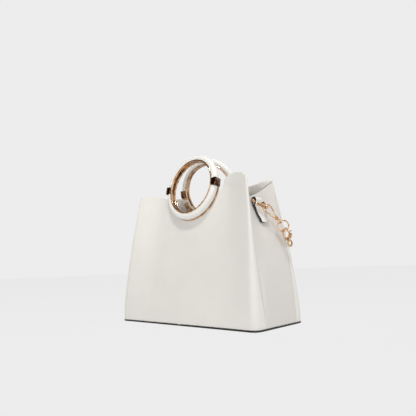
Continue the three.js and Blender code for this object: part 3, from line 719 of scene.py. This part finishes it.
# Golds: the plain bright gold, and darker golds used as painted dark reflection and as painted
# shade.
BRIGHT_GOLD = (0.93, 0.63, 0.37)
DARK_REFLECTION_GOLD = (0.50, 0.28, 0.145)
SHADED_GOLD = (0.075, 0.042, 0.028)
GROOVE_PAINTED_SHADE_GOLD = (0.13, 0.068, 0.036)
band_outer = BAND_INNER + BAND_THICK
frame_back = BAND_WIDTH / 2
grip_outer = RING_RADIUS + GRIP_RADIUS


def polished_gold(name, deep, bright, scale, low=0.38, high=0.62):
    """Polished gold, whose colour varies in patches to imitate the dark things it mirrors."""
    material, tree, shader = shade_tree(name, bright, 0.14, 1.0)
    place = node_in(tree, "ShaderNodeTexCoord")
    cloud = node_in(tree, "ShaderNodeTexNoise")
    cloud.inputs["Scale"].default_value = scale
    cloud.inputs["Detail"].default_value = 2
    ramp = node_in(tree, "ShaderNodeValToRGB")
    ramp.color_ramp.elements[0].position = low
    ramp.color_ramp.elements[0].color = (*deep, 1)
    ramp.color_ramp.elements[1].position = high
    ramp.color_ramp.elements[1].color = (*bright, 1)
    wear = node_in(tree, "ShaderNodeTexNoise")
    wear.inputs["Scale"].default_value = 900
    wear.inputs["Detail"].default_value = 5
    rough = node_in(tree, "ShaderNodeMapRange")
    rough.inputs["To Min"].default_value = 0.07
    rough.inputs["To Max"].default_value = 0.2
    bump = node_in(tree, "ShaderNodeBump")
    bump.inputs["Strength"].default_value = 0.05
    bump.inputs["Distance"].default_value = 0.0001
    tree.links.new(place.outputs["Object"], cloud.inputs["Vector"])
    tree.links.new(cloud.outputs["Fac"], ramp.inputs[0])
    tree.links.new(ramp.outputs[0], shader.inputs["Base Color"])
    tree.links.new(place.outputs["Object"], wear.inputs["Vector"])
    tree.links.new(wear.outputs["Fac"], rough.inputs["Value"])
    tree.links.new(rough.outputs[0], shader.inputs["Roughness"])
    tree.links.new(wear.outputs["Fac"], bump.inputs["Height"])
    tree.links.new(bump.outputs[0], shader.inputs["Normal"])
    return material


# All the gold has patches of painted dark reflection; the band's groove floor has painted shade,
# and the collars have painted dark reflection over most of their faces.
gold = polished_gold("rose_gold_painted_reflections", DARK_REFLECTION_GOLD, BRIGHT_GOLD, 160)
groove_gold_painted_shade = polished_gold("gold_painted_shade_in_groove", GROOVE_PAINTED_SHADE_GOLD, BRIGHT_GOLD, 34, 0.42, 0.66)
collar_gold_painted_reflection = polished_gold("collar_gold_painted_dark_reflection", SHADED_GOLD, DARK_REFLECTION_GOLD, 190, 0.46, 0.72)


def on_handle(points, rear):
    """Points of a ring's own frame, whose Y runs into the bag, put on the front or rear panel."""
    p = np.asarray(points, float)
    depth = middle_depth(RING_HEIGHT / HEIGHT) + PANEL_FACE / math.cos(LEAN)
    x = p[:, 0]
    y = p[:, 1] * math.cos(LEAN) + p[:, 2] * math.sin(LEAN) - depth
    z = -p[:, 1] * math.sin(LEAN) + p[:, 2] * math.cos(LEAN) + RING_HEIGHT
    if not rear:
        return np.stack([x, y, z], 1)
    cos, sin = math.cos(math.pi + REAR_TURN), math.sin(math.pi + REAR_TURN)
    return np.stack([x * cos - y * sin, x * sin + y * cos, z], 1)


def ring_sweep(name, profile, start, end, rear, materials):
    """A closed profile of radius and depth, swept about the ring's axis between two angles."""
    whole = end - start > 2 * math.pi - 1e-6
    turns = RING_STEPS
    if not whole:
        turns = max(int(RING_STEPS * (end - start) / (2 * math.pi)), 6) + 1
    points = []
    for i in range(turns):
        angle = mix(start, end, i / (turns if whole else turns - 1))
        points += [(r * math.sin(angle), y, r * math.cos(angle)) for r, y in profile]
    width = len(profile)
    faces = []
    for i in range(turns if whole else turns - 1):
        here, there = i * width, (i + 1) % turns * width
        for j in range(width):
            n = (j + 1) % width
            faces.append((here + j, there + j, there + n, here + n))
    if not whole:
        faces.append(tuple(range(width)))
        faces.append(tuple(reversed(range((turns - 1) * width, turns * width))))
    piece = mesh_piece(name, on_handle(points, rear), faces, materials)
    return turn_out(piece)


def bead(centre, half):
    """A half round bead that stands as far into the ring as the groove is deep."""
    angles = [math.pi * i / BEAD_STEPS for i in range(BEAD_STEPS + 1)]
    floor_radius = BAND_INNER + GROOVE
    return [(floor_radius - GROOVE * math.sin(a), centre - half * math.cos(a)) for a in angles]


def band_profile():
    """The band's section. Its side after the first bead and one point is the groove's floor."""
    half = BEAD_WIDTH / 2
    lead = frame_back - half
    edge = lead - half - BEAD_CLEAR
    return (
        bead(-lead, half)
        + [(BAND_INNER + GROOVE, -edge), (BAND_INNER + GROOVE, edge)]
        + bead(lead, half)
        + [(band_outer, frame_back), (band_outer, -frame_back)]
    )


def grip_profile(back):
    """A round tube that is cut flat on the band and, where back is small, at the panel's side."""
    seat = band_outer + GAP
    opened = math.acos((seat - RING_RADIUS) / GRIP_RADIUS)
    closed = math.asin(back / GRIP_RADIUS) if back < GRIP_RADIUS else opened
    line = [
        (RING_RADIUS + GRIP_RADIUS * math.cos(a), GRIP_RADIUS * math.sin(a))
        for a in (mix(-opened, closed, i / GRIP_STEPS) for i in range(GRIP_STEPS + 1))
    ]
    return line + ([(seat, back)] if back < GRIP_RADIUS else [])


def square_profile(near, far, front, back):
    return [(near, front), (far, front), (far, back), (near, back)]


cut = COLLAR_LENGTH / 2 + GAP
reach = math.asin(cut / RING_RADIUS)
spread = (COLLAR_LENGTH / 2) / RING_RADIUS
low_start, low_end = math.pi / 2 + reach, 1.5 * math.pi - reach
flange_front = frame_back - FLANGE_THICK
flange_profile = square_profile(
    band_outer - FLANGE_SEAT, grip_outer + FLANGE_PROUD, flange_front, frame_back
)
collar_half = GRIP_RADIUS + COLLAR_PROUD
collar_profile = square_profile(
    band_outer + GAP, RING_RADIUS + collar_half, -collar_half, collar_half
)
plate_front = PANEL_FACE + WALL + GAP
plate_inner = BAND_INNER + GAP
plate_reach = math.acos(BACK_PLATE_DROP / (plate_inner + BACK_PLATE_WIDTH / 2))
plate_profile = square_profile(
    plate_inner, plate_inner + BACK_PLATE_WIDTH, plate_front, plate_front + BACK_PLATE_THICK
)
for side, rear in (("front", False), ("rear", True)):
    profile = band_profile()
    band = ring_sweep(
        side + "_gold_band", profile, 0, 2 * math.pi, rear, (gold, groove_gold_painted_shade)
    )
    # The groove's floor gets the gold with painted shade.
    for face in band.data.polygons:
        gets_painted_groove_shade = face.index % len(profile) == BEAD_STEPS + 1
        face.material_index = 1 if gets_painted_groove_shade else 0
    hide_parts(side + "_ring_frame")
    flange = ring_sweep(
        side + "_gold_flange", flange_profile, low_start, low_end, rear, (gold,)
    )
    soften(flange, 0.35)
    grip = ring_sweep(
        side + "_leather_grip",
        grip_profile(GRIP_RADIUS),
        reach - math.pi / 2,
        math.pi / 2 - reach,
        rear,
        (grip_leather,),
    )
    soften(grip, 0.5, 3, 50)
    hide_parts(side + "_ring_grip")
    cover = ring_sweep(
        side + "_leather_cover",
        grip_profile(flange_front - GAP),
        low_start,
        low_end,
        rear,
        (grip_leather,),
    )
    soften(cover, 0.5, 3, 50)
    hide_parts(side + "_ring_cover")
    # The collars get gold with painted dark reflection over most of their faces.
    for word, middle in (("left", -math.pi / 2), ("right", math.pi / 2)):
        collar = ring_sweep(
            f"{side}_gold_collar_{word}",
            collar_profile,
            middle - spread,
            middle + spread,
            rear,
            (collar_gold_painted_reflection,),
        )
        soften(collar, 0.9, 4)
        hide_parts(f"{side}_collar_{word}")
        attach(collar, "bag")
    back_plate = ring_sweep(
        side + "_gold_back_plate",
        plate_profile,
        math.pi - plate_reach,
        math.pi + plate_reach,
        rear,
        (gold,),
    )
    soften(back_plate, 0.4)
    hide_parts(side + "_back_plate")
    for piece, slot in (
        (band, "gold_metal"),
        (flange, "gold_metal"),
        (back_plate, "gold_metal"),
        (grip, "grip_leather"),
        (cover, "grip_leather"),
    ):
        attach(piece, "bag")

# Hook A: cast in one piece and polished in the same rose gold. Its wire runs through the tab's
# loop, two flat ears hold the pin of its lever, and an eye at its foot carries the bail. The
# lever is a second casting with a knob, and turns on the pin.
PIN_RADIUS = 0.7
PIN_EASE = 0.1
HUB_RADIUS = 2.1
HUB_HEIGHT = 2.2
HUB_PLAY = 0.35
EAR_THICK = 1
EAR_EASE = 0.25
EAR_STEPS = 14
KNOB_RADIUS = 1.7
KNOB_REACH = 4.6
KNOB_STEM_SHARE = 0.7
TAIL_EYE_RADIUS = 3.3
TAIL_EYE_WIRE = 1.2
BAIL_TOP = (15.1, 4.0, -13.2)
BAIL_BARREL = (25, 17, -31.5)
BAIL_FACING = (-0.885, 0.283, -0.37)
BAIL_TOP_BAR = 25
HOOK_A_SLOPE = math.radians(41.8)
HOOK_A = {
    "wire": 1.7,
    "gate_wire": 1.3,
    "pivot": (-3.2, 14),
    "root": (1.8, 16.5),
    "rest": (-12.3, 9),
    "knob_share": 0.55,
    "knob_way": (-0.6, 0.8),
    "outline": (
        (-13.2, 7.2), (-14.3, 4.2), (-12.8, 1.1), (-9, 0), (0, 0), (8, 0), (11.6, 0.8),
        (13.6, 4.2), (12.4, 9.6), (8.8, 14), (5, 15.8), (2.1, 17),
    ),
}


def curve_through(outline, count):
    """Points evenly spread along a smooth centripetal curve through a plane outline."""
    p = np.array([(x, y, 0.0) for x, y in outline])
    p = np.vstack([2 * p[0] - p[1], p, 2 * p[-1] - p[-2]])
    dense = []
    for i in range(1, len(p) - 2):
        knots = [0.0]
        for a, b in ((i - 1, i), (i, i + 1), (i + 1, i + 2)):
            knots.append(knots[-1] + np.linalg.norm(p[b] - p[a]) ** 0.5)
        t0, t1, t2, t3 = knots
        for t in np.linspace(t1, t2, 16, endpoint=i == len(p) - 3):
            a1 = p[i - 1] * (t1 - t) / (t1 - t0) + p[i] * (t - t0) / (t1 - t0)
            a2 = p[i] * (t2 - t) / (t2 - t1) + p[i + 1] * (t - t1) / (t2 - t1)
            a3 = p[i + 1] * (t3 - t) / (t3 - t2) + p[i + 2] * (t - t2) / (t3 - t2)
            b1 = a1 * (t2 - t) / (t2 - t0) + a2 * (t - t0) / (t2 - t0)
            b2 = a2 * (t3 - t) / (t3 - t1) + a3 * (t - t1) / (t3 - t1)
            dense.append(b1 * (t2 - t) / (t2 - t1) + b2 * (t - t1) / (t2 - t1))
    dense = np.array(dense)
    run = np.concatenate([[0], np.cumsum(np.linalg.norm(np.diff(dense, axis=0), axis=1))])
    where = np.linspace(0, run[-1], count)
    return np.stack([np.interp(where, run, dense[:, k]) for k in range(3)], 1)


def tube(points, radius, sides=18):
    """A round wire along a plane path, with its ends rounded over."""
    points = np.asarray(points, float)
    tangents = np.gradient(points, axis=0)
    tangents /= np.linalg.norm(tangents, axis=1)[:, None]
    centres, scales, ways = list(points), [1.0] * len(points), list(tangents)
    cap = [math.radians(a) for a in (25, 50, 75)]
    for end, sign in ((0, -1), (-1, 1)):
        for a in cap:
            reach_out = sign * radius * (math.sin(a) - 0.4) * 0.6
            at = 0 if sign < 0 else len(centres)
            centres.insert(at, points[end] + tangents[end] * reach_out)
            scales.insert(at, math.cos(a))
            ways.insert(at, tangents[end])
    out = np.array([0.0, 0.0, 1.0])
    verts, faces = [], []
    for centre, scale, way in zip(centres, scales, ways):
        across = np.cross(out, way)
        across /= np.linalg.norm(across)
        lift = np.cross(way, across)
        for k in range(sides):
            a = 2 * math.pi * k / sides
            verts.append(centre + radius * scale * (across * math.cos(a) + lift * math.sin(a)))
    rings = len(centres)
    for i in range(rings - 1):
        for k in range(sides):
            n = (k + 1) % sides
            faces.append((i * sides + k, i * sides + n, (i + 1) * sides + n, (i + 1) * sides + k))
    faces.append(tuple(reversed(range(sides))))
    faces.append(tuple(range((rings - 1) * sides, rings * sides)))
    return verts, faces


def lathe(profile, place, axis, sides=40):
    """A solid turned about an axis, from radii and heights along it; hollow if these close."""
    axis = np.asarray(axis, float)
    axis /= np.linalg.norm(axis)
    helper = np.array([1.0, 0, 0]) if abs(axis[0]) < 0.9 else np.array([0, 1.0, 0])
    u = np.cross(axis, helper)
    u /= np.linalg.norm(u)
    v = np.cross(axis, u)
    hollow = profile[0] == profile[-1]
    if hollow:
        profile = profile[:-1]
    verts, faces = [], []
    for r, h in profile:
        for k in range(sides):
            a = 2 * math.pi * k / sides
            out = u * math.cos(a) + v * math.sin(a)
            verts.append(np.asarray(place, float) + axis * h + out * r)
    rings = len(profile)
    for i in range(rings if hollow else rings - 1):
        above = (i + 1) % rings
        for k in range(sides):
            n = (k + 1) % sides
            faces.append((i * sides + k, i * sides + n, above * sides + n, above * sides + k))
    if not hollow:
        faces.append(tuple(reversed(range(sides))))
        faces.append(tuple(range((rings - 1) * sides, rings * sides)))
    return verts, faces


def torus(radius, wire, centre, stretch=1, steps=64, sides=20, plane="xy"):
    """A closed round wire, which may be stretched along X."""
    verts, faces = [], []
    for i in range(steps):
        a = 2 * math.pi * i / steps
        for k in range(sides):
            b = 2 * math.pi * k / sides
            r = radius + wire * math.cos(b)
            x, y, z = r * math.cos(a) * stretch, r * math.sin(a), wire * math.sin(b)
            if plane == "xz":
                y, z = z, y
            verts.append((x + centre[0], y + centre[1], z + centre[2]))
    for i in range(steps):
        n = (i + 1) % steps
        for k in range(sides):
            m = (k + 1) % sides
            faces.append((i * sides + k, n * sides + k, n * sides + m, i * sides + m))
    return verts, faces


def turned(radius, low, high, ease_by=0.35, hole=None):
    """The profile of a turned drum with softened rims, hollow where a hole is given."""
    e = min(ease_by, radius * 0.3)
    line = [(radius - e, low), (radius - e * 0.3, low + e * 0.3), (radius, low + e),
            (radius, high - e), (radius - e * 0.3, high - e * 0.3), (radius - e, high)]
    if hole:
        return line + [(hole, high), (hole, low), (radius - e, low)]
    return line


def gold_piece(name, node, parts, place, body):
    """One casting as one mesh of turned, bent and flat shapes that run into each other."""
    verts, faces = [], []
    for part_verts, part_faces in parts:
        shift = len(verts)
        verts += [tuple(v) for v in part_verts]
        faces += [tuple(i + shift for i in f) for f in part_faces]
    put = np.array(place)
    world = np.array(verts) @ put[:3, :3].T + put[:3, 3]
    piece = mesh_piece(name, world, faces, (gold,))
    turn_out(piece)
    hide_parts(node)
    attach(piece, body)
    return piece


def ear(start, end, radius, low, high):
    """A flat ear with round ends and an eased rim, between two places of a hook's plane."""
    way = math.atan2(end[1] - start[1], end[0] - start[0])
    rim = []
    for place, turn in ((end, -1), (start, 1)):
        first = way + turn * math.pi / 2
        for i in range(EAR_STEPS + 1):
            rim.append((place[0], place[1], first + math.pi * i / EAR_STEPS))
    eased = radius - EAR_EASE
    layers = ((eased, low), (radius, low + EAR_EASE), (radius, high - EAR_EASE), (eased, high))
    verts = [(x + r * math.cos(a), y + r * math.sin(a), z) for r, z in layers for x, y, a in rim]
    n = len(rim)
    faces = []
    for s in range(len(layers) - 1):
        for i in range(n):
            k = (i + 1) % n
            faces.append((s * n + i, s * n + k, (s + 1) * n + k, (s + 1) * n + i))
    faces += [tuple(reversed(range(n))), tuple(range(3 * n, 4 * n))]
    return verts, faces


def hook_parts(hook, count):
    inside = HUB_HEIGHT / 2 + GAP
    outside = inside + EAR_THICK
    pivot, root = (*hook["pivot"], 0), (*hook["root"], 0)
    return [
        tube(curve_through(hook["outline"], count), hook["wire"]),
        lathe(turned(PIN_RADIUS, -outside, outside, PIN_EASE), pivot, (0, 0, 1), 24),
        lathe(turned(HUB_RADIUS, -outside, outside), root, (0, 0, 1)),
        ear(hook["root"], hook["pivot"], HUB_RADIUS, inside, outside),
        ear(hook["root"], hook["pivot"], HUB_RADIUS, -outside, -inside),
    ]


def gate_parts(hook):
    """A lever: its arm, its knob on a short stem, and its bored hub on the pin."""
    pivot, rest = np.array([*hook["pivot"], 0.0]), np.array([*hook["rest"], 0.0])
    way = (rest - pivot) / np.linalg.norm(rest - pivot)
    start = pivot + way * HUB_RADIUS * 0.8
    knob_base = mix(pivot, rest, hook["knob_share"])
    knob_top = knob_base + np.array([*hook["knob_way"], 0.0]) * KNOB_REACH
    rise = knob_top - knob_base
    length = float(np.linalg.norm(rise))
    stem = hook["gate_wire"] * KNOB_STEM_SHARE
    knob = [(stem * 1.3, 0.4), (stem, 1.4)]
    for degrees in range(36, 180, 12):
        a = math.radians(degrees)
        knob.append((KNOB_RADIUS * math.sin(a), length - KNOB_RADIUS * math.cos(a)))
    knob.append((0.05, length + KNOB_RADIUS))
    half = HUB_HEIGHT / 2
    hub = turned(HUB_RADIUS, -half, half, 0.3, PIN_RADIUS + HUB_PLAY)
    return [
        tube(np.linspace(start, rest - way * 0.3, 6), hook["gate_wire"]),
        lathe(knob, knob_base, rise, 28),
        lathe(hub, (*hook["pivot"], 0), (0, 0, 1)),
    ]


def frame_toward(origin, target, facing):
    x = (target - origin).normalized()
    z = (facing - x * facing.dot(x)).normalized()
    y = z.cross(x)
    return Matrix.Translation(origin) @ Matrix((x, y, z)).transposed().to_4x4()


loop_centre = Vector((loop_x, 0, LOOP_HEIGHT))
out_way = Vector((math.cos(HOOK_A_SLOPE), 0, -math.sin(HOOK_A_SLOPE)))
along_way = Vector((0, 1, 0))
hook_a_place = Matrix.Translation(loop_centre) @ Matrix(
    (along_way, out_way, along_way.cross(out_way))
).transposed().to_4x4()
bail_place = frame_toward(
    Vector(BAIL_BARREL) + loop_centre, Vector(BAIL_TOP) + loop_centre, Vector(BAIL_FACING)
)
eye_verts, eye_faces = torus(TAIL_EYE_RADIUS, TAIL_EYE_WIRE, (BAIL_TOP_BAR, 0, 0), plane="xz")
into_hook = hook_a_place.inverted() @ bail_place
tail_eye = ([tuple(into_hook @ Vector(v)) for v in eye_verts], eye_faces)
hook_a_parts = hook_parts(HOOK_A, 90) + [tail_eye]
gold_piece("hook_a_casting", "hook_a_body", hook_a_parts, hook_a_place, "bag")
gold_piece("hook_a_lever_arm", "hook_a_gate", gate_parts(HOOK_A), hook_a_place, "hook_a_lever")

# The wire bail: a bent gold wire whose two ends run into a short turned barrel. Its wide end
# hangs in hook A's eye, and the barrel is bored for the swivel eye's stem.
BAIL_WIRE = 1.05
BARREL_RADIUS = 3.2
BARREL_LENGTH = 4.6
BORE_RADIUS = 1.25
BAIL_OUTLINE = (
    (0.8, -2.6), (4.6, -3.8), (12, -5.4), (19, -7.4), (23.4, -7.2), (25, -4), (25, 0),
    (25.2, 4.6), (23.8, 8.4), (19.5, 9.2), (12, 6.6), (4.6, 3.8), (0.8, 2.6),
)
barrel_half = BARREL_LENGTH / 2
barrel_profile = turned(BARREL_RADIUS, -barrel_half, barrel_half, 0.5, BORE_RADIUS)
bail_parts = [
    tube(curve_through(BAIL_OUTLINE, 110), BAIL_WIRE, 16),
    lathe(barrel_profile, (0, 0, 0), (1, 0, 0)),
]
gold_piece("wire_bail", "bail", bail_parts, bail_place, "bag")

# The small swivel eye: a cast gold eye on a stem. The stem runs through the bail's barrel and is
# spread into a head above it, so the eye hangs below the barrel.
STEM_RADIUS = 0.9
HEAD_RADIUS = 1.5
HEAD_THICK = 1
EYE_RADIUS = 3.2
EYE_WIRE = 0.9


def eye_parts(centre, radius, wire, stretch, high):
    """An eye about a centre on X, and its stem and head past a barrel that ends at high."""
    top = high + GAP + HEAD_THICK
    foot_of_stem = centre + radius * stretch
    stem = [
        (STEM_RADIUS * 1.5, foot_of_stem),
        (STEM_RADIUS, foot_of_stem + wire + 0.2),
        (STEM_RADIUS, top - HEAD_THICK * 0.5),
    ]
    head = turned(HEAD_RADIUS, top - HEAD_THICK, top, 0.3)
    return [
        torus(radius, wire, (centre, 0, 0), stretch),
        lathe(stem, (0, 0, 0), (1, 0, 0), 24),
        lathe(head, (0, 0, 0), (1, 0, 0), 28),
    ]


eye_a = -barrel_half - GAP - EYE_WIRE - EYE_RADIUS
eye_a_parts = eye_parts(eye_a, EYE_RADIUS, EYE_WIRE, 1, barrel_half)
gold_piece("small_swivel_eye", "swivel_eye_a", eye_a_parts, bail_place, "bag")

# The round ring: a ring of plain gold wire with its joint closed. It links the small swivel eye
# to the claw of hook B.
JUMP_RING_RADIUS = 8.9
JUMP_RING_WIRE = 1.15
LINK_PLAY = 0.65
JUMP_RING_AIM = (32, 23.6, -43.6)
JUMP_RING_FACING = (0.37, -0.92, -0.15)
link_a = bail_place @ Vector((eye_a, 0, 0))
ring_away = (Vector(JUMP_RING_AIM) + loop_centre - link_a).normalized()
link_reach = JUMP_RING_RADIUS + EYE_RADIUS - EYE_WIRE - JUMP_RING_WIRE - LINK_PLAY
ring_centre = link_a + ring_away * link_reach
ring_place = frame_toward(ring_centre, link_a, Vector(JUMP_RING_FACING))
ring_parts = [torus(JUMP_RING_RADIUS, JUMP_RING_WIRE, (0, 0, 0), steps=96)]
gold_piece("round_ring", "jump_ring", ring_parts, ring_place, "bag")

# Hook B: cast and polished as hook A is, with a longer claw that hangs in the round ring, and
# a bored barrel at its foot for the oval eye. Its lever is a second casting on a pin.
CLAW_REACH = 18.7
HOOK_B_BARREL_RADIUS = 2.6
HOOK_B_BARREL_LENGTH = 3.6
HOOK_B_AIM = (31.4, 40.5, -67.5)
HOOK_B_FACING = (-0.94, 0.22, 0.24)
HOOK_B = {
    "wire": 1.45,
    "gate_wire": 1.15,
    "pivot": (5.6, 7.8),
    "root": (2.4, 4.2),
    "rest": (14.9, 5.2),
    "knob_share": 0.5,
    "knob_way": (0.1, 1),
    "outline": (
        (15.6, 5), (18.8, 4.9), (21.8, 3.1), (22.9, 0), (21.6, -2.9), (17, -4.6), (10, -5),
        (6.4, -4.7), (3.4, -3.8), (1.2, -2.4),
    ),
}
hook_b_aim = Vector(HOOK_B_AIM) + loop_centre
ring_normal = ring_place.to_3x3() @ Vector((0, 0, 1))
to_barrel = hook_b_aim - ring_centre
to_barrel = (to_barrel - ring_normal * to_barrel.dot(ring_normal)).normalized()
claw = ring_centre + to_barrel * JUMP_RING_RADIUS
foot = claw + (hook_b_aim - claw).normalized() * CLAW_REACH
hook_b_place = frame_toward(foot, claw, Vector(HOOK_B_FACING))
hook_b_barrel = turned(HOOK_B_BARREL_RADIUS, 0, HOOK_B_BARREL_LENGTH, 0.4, BORE_RADIUS)
hook_b_parts = hook_parts(HOOK_B, 80) + [lathe(hook_b_barrel, (0, 0, 0), (1, 0, 0))]
gold_piece("hook_b_casting", "hook_b_body", hook_b_parts, hook_b_place, "bag")
gold_piece("hook_b_lever_arm", "hook_b_gate", gate_parts(HOOK_B), hook_b_place, "hook_b_lever")

# The oval eye: a larger cast eye on a stem, free to turn in hook B's barrel. Nothing hangs
# from it in the photograph.
LOOP_EYE_RADIUS = 3.9
LOOP_EYE_WIRE = 1.4
LOOP_EYE_STRETCH = 1.38
eye_b = -GAP - (LOOP_EYE_RADIUS + LOOP_EYE_WIRE) * LOOP_EYE_STRETCH
eye_b_parts = eye_parts(
    eye_b, LOOP_EYE_RADIUS, LOOP_EYE_WIRE, LOOP_EYE_STRETCH, HOOK_B_BARREL_LENGTH
)
gold_piece("oval_eye", "swivel_eye_b", eye_b_parts, hook_b_place, "loose_eye")

bpy.context.scene.view_settings.view_transform = "Standard"
